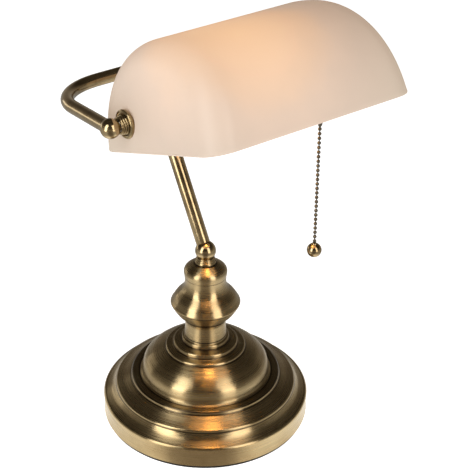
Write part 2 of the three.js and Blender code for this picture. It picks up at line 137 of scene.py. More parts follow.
class Nodes:
    """A material's node tree, with short ways to add and join nodes."""

    def __init__(self, name):
        self.material = bpy.data.materials.new(name)
        self.material.use_nodes = True
        self.tree = self.material.node_tree
        self.shader = self.tree.nodes["Principled BSDF"]

    def add(self, kind, **values):
        made = self.tree.nodes.new("ShaderNode" + kind)
        for key, value in values.items():
            setattr(made, key, value)
        return made

    def link(self, source, target):
        self.tree.links.new(source, target)

    def put(self, node, socket, value):
        """Sets a socket to a value, or joins it to another node's output."""
        if isinstance(value, bpy.types.NodeSocket):
            self.link(value, node.inputs[socket])
        else:
            node.inputs[socket].default_value = value

    def math(self, operation, a, b=0.0):
        made = self.add("Math", operation=operation)
        self.put(made, 0, a)
        self.put(made, 1, b)
        return made.outputs[0]

    def place(self):
        return self.add("TexCoord").outputs["Object"]

    def noise(self, vector, scale, detail, roughness):
        made = self.add("TexNoise")
        self.put(made, "Vector", vector)
        self.put(made, "Scale", scale)
        self.put(made, "Detail", detail)
        self.put(made, "Roughness", roughness)
        return made.outputs["Fac"]

    def ramp(self, factor, stops):
        made = self.add("ValToRGB")
        self.put(made, "Fac", factor)
        elements = made.color_ramp.elements
        while len(elements) < len(stops):
            elements.new(0.5)
        for element, (position, colour) in zip(elements, stops):
            element.position = position
            element.color = (*colour, 1)
        return made.outputs["Color"]

    def span(self, factor, low, high, from_low, from_high):
        made = self.add("MapRange")
        self.put(made, "Value", factor)
        self.put(made, "From Min", from_low)
        self.put(made, "From Max", from_high)
        self.put(made, "To Min", low)
        self.put(made, "To Max", high)
        return made.outputs["Result"]

    def blend(self, factor, a, b):
        """Mixes two colours. A Mix node's colour sockets are its inputs 6 and 7 and its output 2."""
        made = self.add("Mix", data_type="RGBA")
        self.put(made, "Factor", factor)
        for socket, value in ((6, a), (7, b)):
            self.put(made, socket, (*value, 1) if isinstance(value, tuple) else value)
        return made.outputs[2]

    def length(self, vector):
        made = self.add("VectorMath", operation="LENGTH")
        self.link(vector, made.inputs[0])
        return made.outputs["Value"]

    def bump(self, height, strength, distance):
        made = self.add("Bump")
        self.put(made, "Height", height)
        self.put(made, "Strength", strength)
        self.put(made, "Distance", distance)
        self.link(made.outputs["Normal"], self.shader.inputs["Normal"])

    def set(self, **sockets):
        """Sets or joins the shader's own sockets, as in base_color=..."""
        for name, value in sockets.items():
            socket = name.replace("_", " ").title()
            self.put(self.shader, socket, (*value, 1) if isinstance(value, tuple) else value)


# ---- materials ----


GRAIN_STRETCH = 0.0006  # how far the grain runs, in metres, for each radian round the axis


def turned_grain(n, axis):
    """Coordinates that change quickly along a turned profile and slowly around the axis, and the height."""
    parts = n.add("SeparateXYZ")
    n.link(n.place(), parts.inputs[0])
    x, y, z = (parts.outputs[i] for i in range(3))
    height = z
    if axis == "x":
        centre = PIVOT * MM
        x, y, z = n.math("SUBTRACT", z, centre.z), n.math("SUBTRACT", y, centre.y), x
    radius = n.math("SQRT", n.math("ADD", n.math("MULTIPLY", x, x), n.math("MULTIPLY", y, y)))
    angle = n.math("ARCTAN2", y, x)
    grain = n.add("CombineXYZ")
    n.put(grain, 0, radius)
    n.put(grain, 1, n.math("MULTIPLY", angle, GRAIN_STRETCH))
    n.put(grain, 2, z)
    return grain.outputs[0], height


# The height of each turned groove and joint, where a dark line of painted shade goes, and half that line's
# width.
GROOVES = (
    (30.2, 0.9), (38.6, 0.9), (41.0, 0.85), (67.3, 0.9), (70.8, 0.8), (75.4, 0.8), (80.8, 0.7), (99.0, 2.6),
    (112.4, 1.0), (140.2, 0.25), (153.7, 0.9),
)


def groove_painted_shade(n, height):
    """The mask of the painted shade in the grooves: 1 in the middle of a groove, falling to 0 beside it."""
    groove_shade = None
    for middle, width in GROOVES:
        off = n.math("ABSOLUTE", n.math("SUBTRACT", height, middle * MM))
        near = n.span(off, 1.0, 0.0, 0.3 * width * MM, width * MM)
        groove_shade = near if groove_shade is None else n.math("MAXIMUM", groove_shade, near)
    return groove_shade


def antique_brass(name, axis="z"):
    """Brushed brass under a brown patina, lightened on its edges by wear and a painted highlight, and
    darkened by painted shade in its hollows and grooves.
    """
    n = Nodes(name)
    grain, height = turned_grain(n, axis)
    lines = n.noise(grain, 2600, 4, 0.65)
    bands = n.noise(grain, 420, 3, 0.6)
    cloud = n.noise(n.place(), 34, 4, 0.55)
    stops = [(0.3, (0.32, 0.235, 0.115)), (0.52, (0.42, 0.32, 0.17)), (0.75, (0.5, 0.395, 0.22))]
    patina = n.ramp(cloud, stops)
    streaked = n.blend(n.span(lines, 0.0, 0.55, 0.3, 0.75), patina, (0.34, 0.25, 0.135))
    edge = n.add("NewGeometry").outputs["Pointiness"]
    # Edges, found by pointiness, get a lighter colour: partly wear, partly a painted highlight.
    wear_and_highlight = n.blend(n.span(edge, 0.0, 0.7, 0.52, 0.6), streaked, (0.62, 0.52, 0.34))
    # Hollows, found by pointiness, get a dark colour: painted shade.
    painted_crevice_shade = n.blend(n.span(edge, 0.75, 0.0, 0.42, 0.488), wear_and_highlight, (0.11, 0.075, 0.04))
    # Painted shade: a dark line along each groove of the base and column.
    if axis == "z":
        painted_crevice_shade = n.blend(n.math("MULTIPLY", groove_painted_shade(n, height), 0.88), painted_crevice_shade, (0.035, 0.022, 0.012))
    spread = n.math("ADD", n.span(lines, -0.05, 0.07, 0.3, 0.7), n.span(bands, -0.03, 0.04, 0.3, 0.7))
    n.set(base_color=painted_crevice_shade, metallic=1.0, roughness=n.math("ADD", spread, 0.27))
    n.set(coat_weight=0.1, coat_roughness=0.15, anisotropic=0.95, anisotropic_rotation=0.25)
    around = n.add("Tangent", direction_type="RADIAL", axis=axis.upper())
    n.link(around.outputs[0], n.shader.inputs["Tangent"])
    n.bump(n.math("ADD", lines, n.math("MULTIPLY", bands, 0.6)), 0.3, 0.00006)
    return n.material


def drawn_brass(name):
    """Brass tube, drawn and buffed lengthways, with small cloudy stains."""
    n = Nodes(name)
    cloud = n.noise(n.place(), 60, 5, 0.6)
    specks = n.noise(n.place(), 900, 3, 0.6)
    stops = [(0.32, (0.28, 0.205, 0.105)), (0.55, (0.43, 0.325, 0.18)), (0.78, (0.52, 0.41, 0.235))]
    patina = n.ramp(cloud, stops)
    stained = n.blend(n.span(specks, 0.0, 0.4, 0.5, 0.75), patina, (0.22, 0.155, 0.085))
    n.set(base_color=stained, metallic=1.0, roughness=n.span(cloud, 0.12, 0.24, 0.3, 0.7))
    n.set(coat_weight=0.12, coat_roughness=0.1)
    n.bump(specks, 0.08, 0.00005)
    return n.material


def bronze():
    """Dark bronzed chain, with lighter specks at random."""
    n = Nodes("bronze_chain")
    specks = n.noise(n.place(), 1300, 3, 0.6)
    stops = [(0.35, (0.09, 0.078, 0.058)), (0.6, (0.15, 0.13, 0.1)), (0.8, (0.23, 0.195, 0.15))]
    n.set(base_color=n.ramp(specks, stops), metallic=1.0, roughness=n.span(specks, 0.24, 0.38, 0.3, 0.7))
    n.bump(specks, 0.1, 0.00005)
    return n.material


def plain_metal(name, light, dark, rough):
    """Plain pressed or plated metal, a little clouded."""
    n = Nodes(name)
    cloud = n.noise(n.place(), 500, 4, 0.6)
    n.set(base_color=n.ramp(cloud, [(0.35, dark), (0.7, light)]), metallic=1.0)
    n.set(roughness=n.span(cloud, rough - 0.06, rough + 0.08, 0.3, 0.7))
    n.bump(cloud, 0.1, 0.00008)
    return n.material


def matt(name, light, dark, rough, scale, depth):
    """A dull or moulded surface: mottled colour with a fine bump."""
    n = Nodes(name)
    cloud = n.noise(n.place(), scale, 5, 0.65)
    n.set(base_color=n.ramp(cloud, [(0.3, dark), (0.7, light)]), roughness=rough)
    n.bump(cloud, depth, 0.0003)
    return n.material


def felt():
    """Pressed felt: matted short fibres, near black. It has the felt's own dark colour, made darker still as
    painted shade under the base rim.
    """
    n = Nodes("felt")
    stretch = n.add("Mapping")
    n.link(n.place(), stretch.inputs["Vector"])
    stretch.inputs["Scale"].default_value = (1, 3.2, 1)
    fibres = n.noise(stretch.outputs[0], 1500, 6, 0.75)
    n.set(base_color=n.ramp(fibres, [(0.3, (0.002, 0.002, 0.0018)), (0.75, (0.009, 0.0085, 0.008))]))
    n.set(roughness=0.95, sheen_weight=0.04, sheen_roughness=0.5)
    n.bump(fibres, 0.8, 0.0006)
    return n.material


# The shade's glow is painted light: emission on the glass stands in for the bulb shining through it, around
# GLOW on the outside and around BULB on the inside. The inner skin is a brighter copy, painted as lit by the
# bulb.
BULB = (PIVOT + Vector((8, 0, 0))) * MM
GLOW = Vector((-0.03, -0.078, 0.396))  # the middle of the bright patch on the outside of the glass
SHADE_REACH, BULB_REACH = 0.14, 0.05  # how far from its centre each glow has faded to its last colour


def lit_glass(name, body, centre, reach, stops, strength):
    """Opal glass with painted light: an emission that glows by the distance from a centre, with the faint
    clouding of pressed glass.
    """
    n = Nodes(name)
    offset = n.add("VectorMath", operation="SUBTRACT")
    n.link(n.place(), offset.inputs[0])
    offset.inputs[1].default_value = centre
    length = n.length(offset.outputs[0])
    cloud = n.noise(n.place(), 22, 3, 0.5)
    away = n.math("ADD", length, n.span(cloud, -0.004, 0.004, 0.3, 0.7))
    glow = n.ramp(n.span(away, 0.0, 1.0, 0.0, reach), stops)
    skin = n.noise(n.place(), 700, 2, 0.5)
    n.set(base_color=n.blend(n.span(cloud, 0.0, 0.3, 0.3, 0.7), body, tuple(0.93 * c for c in body)))
    n.set(roughness=n.span(skin, 0.46, 0.55, 0.3, 0.7), emission_color=glow, emission_strength=strength)
    n.bump(skin, 0.04, 0.0001)
    return n.material


MATERIALS = dict(
    turned=antique_brass("brass_turned"),
    collar=antique_brass("brass_collar", axis="x"),
    ball=drawn_brass("brass_ball"),
    tube=drawn_brass("brass_tube"),
    contact=plain_metal("brass_contact", (0.75, 0.6, 0.33), (0.6, 0.46, 0.24), 0.25),
    chain=bronze(),
    steel=plain_metal("zinc_steel", (0.62, 0.62, 0.6), (0.46, 0.46, 0.45), 0.3),
    cap=plain_metal("bulb_cap_metal", (0.82, 0.82, 0.8), (0.66, 0.66, 0.65), 0.22),
    iron=matt("cast_iron", (0.11, 0.108, 0.105), (0.05, 0.05, 0.05), 0.7, 420, 0.6),
    felt=felt(),
    rubber=matt("rubber", (0.035, 0.034, 0.032), (0.018, 0.018, 0.017), 0.75, 900, 0.25),
    porcelain=matt("porcelain", (0.86, 0.83, 0.76), (0.8, 0.77, 0.69), 0.12, 120, 0.02),
    lead=matt("lead_sheath", (0.12, 0.09, 0.06), (0.08, 0.06, 0.04), 0.45, 300, 0.1),
    glass=lit_glass(
        "opal_glass",
        (0.37, 0.34, 0.305),
        GLOW,
        SHADE_REACH,
        [
            (0.0, (0.75, 0.425, 0.21)),
            (0.24, (0.66, 0.375, 0.195)),
            (0.42, (0.51, 0.295, 0.165)),
            (0.53, (0.4, 0.25, 0.165)),
            (0.68, (0.31, 0.2, 0.135)),
            (1.0, (0.23, 0.16, 0.1)),
        ],
        1.0,
    ),
    inside=lit_glass(
        "opal_glass_inside",
        (0.75, 0.7, 0.62),
        BULB,
        SHADE_REACH,
        [
            (0.18, (1.0, 0.46, 0.11)),
            (0.27, (0.3, 0.12, 0.03)),
            (0.4, (0.1, 0.055, 0.03)),
            (1.0, (0.06, 0.036, 0.022)),
        ],
        2.4,
    ),
    bulb=lit_glass(
        "bulb_glow",
        (0.9, 0.85, 0.75),
        BULB,
        BULB_REACH,
        [(0.0, (1.0, 0.52, 0.15)), (1.0, (1.0, 0.46, 0.11))],
        15.0,
    ),
)

# ---- mesh helpers ----


def smooth(mesh, sharp):
    """Shades a mesh smooth, except at edges sharper than an angle in degrees."""
    mesh.shade_smooth()
    mesh.set_sharp_from_angle(angle=math.radians(sharp))
    return mesh


def mesh_of(points, faces, sharp=35):
    """A mesh in metres from points in millimetres."""
    mesh = bpy.data.meshes.new("piece")
    mesh.from_pydata([Vector(p) * MM for p in points], [], faces)
    mesh.validate()
    return smooth(mesh, sharp)


def show(node, mesh, *materials):
    """Adds a piece that stands for a CAD node: it rides on that node's body, and the node is hidden."""
    mesh.validate()
    piece = put_in_scene(node + "_fine", mesh)
    for material in materials:
        mesh.materials.append(MATERIALS[material])
    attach(piece, BODY_OF[node])
    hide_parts(node)
    return piece


def arc(r, z, radius, start, end, steps):
    """Points of an arc in a profile, from one angle to another in degrees, with 0 pointing outwards."""
    angles = [math.radians(start + (end - start) * i / steps) for i in range(steps + 1)]
    return [(r + radius * math.cos(a), z + radius * math.sin(a)) for a in angles]


def spline(t, a, b, c, d):
    """A Catmull-Rom spline at a share t of the way from b to c."""
    return 0.5 * (2 * b + (c - a) * t + (2 * a - 5 * b + 4 * c - d) * t**2 + (3 * b - a - 3 * c + d) * t**3)


def curve(points, steps=6):
    """A smooth curve through profile points."""
    out = []
    ends = [points[0], *points, points[-1]]
    for four in zip(ends, ends[1:], ends[2:], ends[3:]):
        out += [tuple(spline(i / steps, *values) for values in zip(*four)) for i in range(steps)]
    return [*out, points[-1]]


def eased(points, radius, closed):
    """Rounds each clear corner of a profile by a small radius."""
    out = []
    count, steps = len(points), 3
    for i, point in enumerate(points):
        here = Vector(point)
        if not closed and i in (0, count - 1):
            out.append(tuple(here))
            continue
        before = Vector(points[i - 1]) - here
        after = Vector(points[(i + 1) % count]) - here
        if before.length < SAME_POINT or after.length < SAME_POINT:
            continue
        if before.angle(after) > CLEAR_CORNER:
            out.append(tuple(here))
            continue
        reach = min(radius, before.length * 0.45, after.length * 0.45)
        a, b = here + before.normalized() * reach, here + after.normalized() * reach
        for k in range(steps + 1):
            t = k / steps
            out.append(tuple((1 - t) ** 2 * a + 2 * t * (1 - t) * here + t**2 * b))
    return out


def turned(profile, segments, place, closed):
    """A profile of (radius, height) pairs turned about Z, then placed. It may close on itself."""
    points, rows = [], []
    for r, z in profile:
        if r < ON_AXIS:
            rows.append([len(points)])
            points.append(place @ Vector((0, 0, z)))
            continue
        rows.append(list(range(len(points), len(points) + segments)))
        for k in range(segments):
            a = math.tau * k / segments
            points.append(place @ Vector((r * math.cos(a), r * math.sin(a), z)))
    pairs = list(zip(rows, rows[1:]))
    if closed:
        pairs.append((rows[-1], rows[0]))
    faces = []
    for low, high in pairs:
        for k in range(segments):
            a, b = low[k % len(low)], low[(k + 1) % len(low)]
            c, d = high[(k + 1) % len(high)], high[k % len(high)]
            faces.append(tuple(dict.fromkeys((a, b, c, d))))
    return outwards(mesh_of(points, [f for f in faces if len(f) > 2]))


def lathe(profile, segments=128, place=Matrix.Identity(4), on_axis=False, ease=0.35):
    """A turned piece with eased corners. Its profile closes on itself, unless both ends are on the axis."""
    return turned(eased(profile, ease, not on_axis), segments, place, not on_axis)


def outwards(mesh):
    """Turns a closed mesh's faces to point out."""
    volume = 0.0
    mesh.calc_loop_triangles()
    for t in mesh.loop_triangles:
        a, b, c = (mesh.vertices[i].co for i in t.vertices)
        volume += a.dot(b.cross(c))
    if volume < 0:
        mesh.flip_normals()
    return mesh


def sweep(path, outer, bore, sides):
    """A tube along a path. outer and bore are radii, one for all the path or one for each point."""
    count = len(path)
    outer = outer if isinstance(outer, list) else [outer] * count
    bore = bore if isinstance(bore, list) else [bore] * count
    ahead = [(path[min(i + 1, count - 1)] - path[max(i - 1, 0)]).normalized() for i in range(count)]
    across = ahead[0].orthogonal().normalized()
    points = []
    for radii in (outer, bore):
        side = across
        for i, (centre, along) in enumerate(zip(path, ahead)):
            side = (side - along * side.dot(along)).normalized()
            third = along.cross(side)
            for k in range(sides):
                a = math.tau * k / sides
                points.append(centre + radii[i] * (math.cos(a) * side + math.sin(a) * third))
    faces = []
    inner = count * sides
    for i in range(count - 1):
        for k in range(sides):
            a, b = i * sides + k, i * sides + (k + 1) % sides
            faces.append((a, b, b + sides, a + sides))
            faces.append((inner + a + sides, inner + b + sides, inner + b, inner + a))
    for start, flip in ((0, False), ((count - 1) * sides, True)):
        for k in range(sides):
            a, b = start + k, start + (k + 1) % sides
            face = (b, a, inner + a, inner + b)
            faces.append(face[::-1] if flip else face)
    return outwards(mesh_of(points, faces))


def cut_by(mesh, cutters):
    """Cuts solid meshes out of a mesh."""
    body = put_in_scene("body", mesh)
    tools = []
    for i, cutter in enumerate(cutters):
        tool = put_in_scene(f"cutter{i}", cutter)
        tools.append(tool)
        modifier = body.modifiers.new("cut", "BOOLEAN")
        modifier.operation = "DIFFERENCE"
        modifier.solver = "EXACT"
        modifier.object = tool
    graph = bpy.context.evaluated_depsgraph_get()
    result = bpy.data.meshes.new_from_object(body.evaluated_get(graph), depsgraph=graph)
    for extra in (body, *tools):
        bpy.data.objects.remove(extra)
    return result


def pointing(direction, centre):
    """Places a shape drawn along Z so that it runs along a direction from a centre."""
    turn = Vector((0, 0, 1)).rotation_difference(direction)
    return Matrix.Translation(centre) @ turn.to_matrix().to_4x4()


def plug(radius, low, high, place):
    """A round cutter."""
    return lathe([(0, low), (radius, low), (radius, high), (0, high)], 64, place, on_axis=True, ease=0)


OUTSIDE = 12  # from a ball's centre to well outside it, for the far side of a cutter


def ball(centre, radius, sockets):
    """A ball with round sockets or flats cut into it. Each socket is (direction, radius, from, to).

    The custom normals keep the round faces smooth beside the flat ones.
    """
    profile = [(max(r, 0), z) for r, z in arc(0, 0, radius, -90, 90, 48)]
    profile[0], profile[-1] = (0, -radius), (0, radius)
    solid = lathe(profile, 96, Matrix.Translation(centre), on_axis=True, ease=0)
    cutters = [plug(r, low, high, pointing(d, centre)) for d, r, low, high in sockets]
    mesh = smooth(cut_by(solid, cutters), 25)
    middle, tolerance = centre * MM, 2e-5
    normals = [Vector((0, 0, 0))] * len(mesh.loops)
    for face in mesh.polygons:
        corners = [mesh.vertices[i].co - middle for i in face.vertices]
        round_face = all(abs(c.length - radius * MM) < tolerance for c in corners)
        for loop, corner in zip(face.loop_indices, corners):
            normals[loop] = corner.normalized() if round_face else face.normal.copy()
    mesh.normals_split_custom_set(normals)
    return mesh


# ---- base ----

# From the lamp's axis towards the back, along the cord's hole in the base wall.
CORD_HOLE = pointing(Vector((0, 1, 0)), Vector((0, 0, 11)))


def step(r, low, high, inner):
    """One step of the stack on the dome, with its upper edge rounded."""
    return [(r, low), *arc(r - 1.6, high - 1.6, 1.6, 0, 90, 8), (inner, high + 0.3)]


def base_shell():
    rim, wall, clear = BASE["rim"], BASE["wall"], ROD["clear"]
    rim_cove = curve([*arc(rim - 2.8, 19.5, 2.8, 60, 90, 2), (84.8, 25.2), (82.3, 28.2), (81.4, 29.6)])
    middle_tier = curve([*arc(78.9, 30.8, 2, 60, 80, 1), (74, 34.8), (69, 37.4), (67.4, 38.2)], 4)
    dome = [
        (57.2, 42.6), (56.6, 44.6), (56.3, 48), (55.2, 52.4), (53, 56), (49.9, 59), (46.2, 62), (41.4, 64.6),
        (36.4, 66.8),
    ]
    dome_inside = [
        (18, 76.8), (20, 73.6), (27, 69.2), (34, 65.6), (40, 63), (48.4, 57.6), (53.6, 51.2), (54.8, 43.6),
    ]
    outside = [
        *curve([(rim, 3.3), (rim - 0.35, 7), (rim - 0.4, 12), (rim, 19.5)]),
        *arc(rim - 2.8, 19.5, 2.8, 6, 54, 8),
        *rim_cove,
        (81.1, 30.2),
        *arc(78.9, 30.8, 2, 0, 56, 6),
        *middle_tier,
        (67.1, 38.6),
        *arc(64.6, 39.6, 2, 0, 90, 10),
        (60.4, 41.6),
        (59.6, 41),
        *curve(dome, 7),
        *step(35.6, 67.4, 69.6, 30),
        *step(28.6, 70.6, 74.4, 22.6),
        *step(21, 75.2, 79.2, 18.9),
        (18.9, BASE["top"]),
    ]
    inside = [
        (clear, BASE["top"]),
        (clear, BASE["top"] - 2),
        *curve(dome_inside, 4),
        (57, 40.2),
        (62, 39.8),
        (64.6, 38),
        (66, 36.6),
        (77.6, 31.2),
        (79.2, 28.8),
        (83, 23.6),
        (88.6, 20.4),
        (rim - wall, 18.6),
        (rim - wall, 3.3),
    ]
    return smooth(cut_by(lathe(outside + inside, 192), [plug(5.2, 80, 100, CORD_HOLE)]), 35)


def ring(inner, outer, low, high, segments=96, place=Matrix.Identity(4), ease=0.25):
    """A flat or tubular ring."""
    return lathe([(inner, low), (outer, low), (outer, high), (inner, high)], segments, place, ease=ease)


def hex_nut(low, high, place=Matrix.Identity(4)):
    """A six-sided nut with its corners turned off and a bore."""
    bore, flat, face, chamfer, slope = NIPPLE["radius"] + 0.4, 7.2, 7.4, 0.7, 1.2
    count, steps = 96, 5
    points = []
    for i in range(count):
        angle = math.tau * i / count
        side = flat / math.cos((angle + math.pi / 6) % (math.pi / 3) - math.pi / 6)
        corner = [(min(side, face + slope * t / steps), chamfer * t / steps) for t in range(steps + 1)]
        below = [(r, low + h) for r, h in corner]
        above = [(r, high - h) for r, h in reversed(corner)]
        outline = [(bore, low), *below, *above, (bore, high)]
        points += [place @ Vector((r * math.cos(angle), r * math.sin(angle), z)) for r, z in outline]
    row = len(outline)

    def at(i, j):
        return i % count * row + j % row

    cells = [(i, j) for i in range(count) for j in range(row)]
    faces = [(at(i, j), at(i, j + 1), at(i + 1, j + 1), at(i + 1, j)) for i, j in cells]
    return outwards(mesh_of(points, faces, 25))


def build_base():
    show("base_shell", base_shell(), "turned")
    pad = [(0, 0), (90.8, 0), (90.8, 3), (0, 3)]
    show("felt_pad", lathe(pad, 192, on_axis=True, ease=0.6), "felt")
    show("bottom_plate", ring(12, 89.6, 3.3, 4.5, 160), "steel")
    show("base_weight", ring(6.2, 75, 16.4, 27, 128, ease=1.5), "iron")
    show("rod_nut", hex_nut(11.4, 14.8), "steel")
    show("lock_washer", ring(ROD["clear"], 10, 15.1, 16.1), "steel")
    grommet = [(3, 88), (4.8, 88), (4.8, 92.9), (7, 92.9), (6.4, 94.4), (3, 94.4)]
    show("cord_grommet", lathe(grommet, 64, CORD_HOLE, ease=0.5), "rubber")


# ---- column ----


def column_neck():
    top, clear = BASE["top"], ROD["clear"]
    bell = curve(
        [
            (18.6, top + GAP), (18.2, 87), (18, 92), (18.3, 95.5), (19.5, 98.4), (22.2, 101.6), (25, 104.2),
            (27.4, 107.6), (28.9, 110.2), (29.8, 112.2),
        ]
    )
    hollow = curve([(28.4, 112.2), (25.4, 107), (20.6, 101.4), (16.8, 97)])
    foot = [(16.8, 82.6), (clear, 82.6), (clear, top + GAP)]
    return lathe([*bell, *hollow, *foot])


def column_vase():
    clear = ROD["clear"]
    belly = curve(
        [
            (30.2, 112.6), (30.7, 114), (29.9, 115.6), (28.9, 117.2), (27.8, 119.1), (26.4, 121.2),
            (24.6, 123.2), (22.6, 125.2), (20.8, 127.2), (19.5, 129.4), (18.6, 131.8), (18.1, 134.6),
            (18.1, 137.4), (18.35, 140.1),
        ]
    )
    hollow = [
        (clear, 140.1), (clear, 138.5), (16.7, 138.5), (16.7, 131.6), (18.2, 128.4), (22, 123.4), (26, 118.8),
        (28.8, 113.8), (28.8, 112.6),
    ]
    return lathe([*belly, *hollow])


def column_cap():
    clear = ROD["clear"]
    flank = [(18.4, 140.4), (18.8, 143), (18.95, 145.2), (18.5, 147)]
    shoulder = [(17.4, 148.7), (15.4, 150.3), (12.8, 151.9), (9.9, 153.3)]
    roof = [(clear, 153.3), (clear, 151.7), (9.4, 151.4), (13, 149.8)]
    wall = [(15.6, 147.8), (17, 145.2), (17, 140.4)]
    return lathe([*curve(flank + shoulder), *roof, *wall])


def bead_ring(low, high, radius, waist):
    """A rounded bead of a turned stack, from one waist to the next."""
    middle = (low + high) / 2
    return [(waist, low), *arc(waist, middle, radius - waist, -70, 70, 10), (waist, high)]


def ring_collar():
    clear = ROD["clear"]
    beads = [
        *bead_ring(153.9, 155.7, 9.4, 7.8),
        *bead_ring(155.8, 157.5, 8.6, 7.4),
        *bead_ring(157.6, 159.2, 8.0, 7.1),
    ]
    return lathe([(clear, 153.6), (8.9, 153.6), *beads, (7.1, 159.3), (clear, 159.3)], ease=0.12)


def threaded(radius, bore, low, high, pitch, place=Matrix.Identity(4)):
    """A hollow rod with rings cut along it for its thread."""
    root, plain_end = radius - 0.4, 0.3
    outline = [(bore, low), (root, low)]
    turns = int((high - low - 2 * plain_end) / pitch)
    for i in range(turns):
        z = low + plain_end + i * pitch
        outline += [(root, z), (radius, z + pitch * 0.4), (radius, z + pitch * 0.6)]
    outline += [(root, high), (bore, high)]
    return lathe(outline, 40, place, ease=0)


def build_column():
    show("column_neck", column_neck(), "turned")
    show("column_vase", column_vase(), "turned")
    show("column_cap", column_cap(), "turned")
    show("ring_collar", ring_collar(), "turned")
    show("threaded_rod", threaded(ROD["radius"], ROD["bore"], ROD["bottom"], ROD["top"], 1.0), "steel")
    foot, up = STEM["ball_z"], Vector((0, 0, 1))
    sockets = [
        (up, OUTSIDE, -OUTSIDE, 159.6 - foot),
        (up, ROD["radius"] + GAP, -OUTSIDE, ROD["top"] + GAP - foot),
        (LEAN, STEM["radius"] + GAP, 6.6, 14),
    ]
    show("stem_ball", ball(Vector((0, 0, foot)), STEM["ball"], sockets), "ball")


# ---- stem and yoke ----

SIDES = (("left", -1), ("right", 1))


def arm_path(side):
    """The centre line of one yoke arm, and the direction from its end ball back along it."""
    steps = 36
    corner = Vector((side * YOKE["bar_half"], HUB_CENTRE.y, HUB_CENTRE.z))
    end = Vector((side * YOKE["half"], PIVOT.y, PIVOT.z))
    bar, arm = (HUB_CENTRE - corner).normalized(), (end - corner).normalized()
    half = bar.angle(arm) / 2
    tangent = YOKE["bend"] / math.tan(half)
    centre = corner + (bar + arm).normalized() * (YOKE["bend"] / math.sin(half))
    first, last = corner + bar * tangent - centre, corner + arm * tangent - centre
    turn = math.pi - 2 * half
    bend = []
    for i in range(steps + 1):
        of_first = math.sin(turn * (1 - i / steps)) / math.sin(turn)
        of_last = math.sin(turn * i / steps) / math.sin(turn)
        bend.append(centre + first * of_first + last * of_last)
    start, finish = HUB_CENTRE - bar * 7.1, end - arm * 6
    return [start, start.lerp(bend[0], 0.5), *bend, bend[-1].lerp(finish, 0.5), finish], -arm


def build_yoke():
    along_stem = pointing(LEAN, Vector((0, 0, STEM["ball_z"])))
    tube = ring(STEM["bore"], STEM["radius"], 6.9, STEM_LENGTH - 7, 64, along_stem)
    show("stem_tube", tube, "tube")
    x = Vector((1, 0, 0))
    arm_hole = YOKE["radius"] + GAP
    stem_hole = STEM["radius"] + GAP
    sockets = [(x, arm_hole, 6.8, OUTSIDE), (-x, arm_hole, 6.8, OUTSIDE), (-LEAN, stem_hole, 6.6, OUTSIDE)]
    show("yoke_hub", ball(HUB_CENTRE, HUB["radius"], sockets), "ball")
    for name, side in SIDES:
        path, back = arm_path(side)
        show(f"yoke_arm_{name}", sweep(path, YOKE["radius"], YOKE["bore"], 48), "tube")
        inwards, centre = -side * x, Vector((side * YOKE["half"], PIVOT.y, PIVOT.z))
        nipple_hole = NIPPLE["radius"] + GAP
        arm_socket, flat = (back, arm_hole, 5.7, OUTSIDE), (inwards, OUTSIDE, 6.1, OUTSIDE)
        sockets = [arm_socket, flat, (inwards, nipple_hole, 1, OUTSIDE)]
        show(f"yoke_ball_{name}", ball(centre, YOKE["ball"], sockets), "ball")


# ---- clamping hardware on the pivot axis ----


def collar_profile():
    hole = NIPPLE["hole"]
    lip = arc(10.1, 95.1, 1.5, -35, 180, 16)
    return [(hole, 92.8), (10.2, 92.8), (11.1, 93.2), *lip, (8.3, 94.5), (hole, 94.5)]


def spacer_profile():
    hole = NIPPLE["hole"]
    rings = [
        *bead_ring(95.6, 97.2, 7.9, 6.9),
        *bead_ring(97.5, 99.1, 7.5, 6.5),
        *bead_ring(99.4, 101.0, 7.1, 6.2),
    ]
    return [(hole, 94.8), (6.9, 94.8), *rings, (6.1, 101.7), (hole, 101.7)]


def build_clamps():
    hole = NIPPLE["hole"]
    for name, side in SIDES:
        place = pointing(Vector((side, 0, 0)), PIVOT)
        show(f"collar_{name}", lathe(collar_profile(), 96, place, ease=0.25), "collar")
        show(f"spacer_{name}", lathe(spacer_profile(), 96, place, ease=0.12), "collar")
        start, end, pitch = (81.5 if side < 0 else 80), 103.7, 1.0
        show(f"nipple_{name}", threaded(NIPPLE["radius"], NIPPLE["bore"], start, end, pitch, place), "steel")
        show(f"gasket_outer_{name}", ring(hole, 9.6, 92, 92.5, 64, place, 0.15), "rubber")
        show(f"gasket_inner_{name}", ring(hole, 9.6, 88.1, 88.6, 64, place, 0.15), "rubber")
        show(f"washer_{name}", ring(hole, 10.4, 86.9, 87.8, 64, place, 0.2), "steel")
        show(f"nut_{name}", hex_nut(83.4, 86.6, place), "steel")


# ---- shade ----

SHADE_PLACE = Matrix.Translation(PIVOT) @ Matrix.Rotation(-SHADE["tilt"], 4, "X")


def barrel_point(side, a, t, less):
    """A point of the glass: a is 0 where the end's corner starts and a quarter turn on the end wall."""
    s = SHADE
    corner = s["corner"] - less
    inset, back = corner * (1 - math.cos(a)), less + corner * (1 - math.sin(a))
    power = 2 / s["power"]
    c = math.cos(t)
    z = (s["height"] - less - inset) * max(math.sin(t), 0) ** power
    y = -math.copysign(abs(c) ** power, c) * (s["width"] / 2 - less - inset)
    return Vector((side * wall_x(z, back), y - s["ridge"], z - s["rim"]))


def wall_x(z, back):
    """How far out an end wall stands at a height above the rim."""
    share = z / SHADE["height"]
    return SHADE["half_length"] - back - SHADE["draft"] * share - SHADE["crown"] * share**2


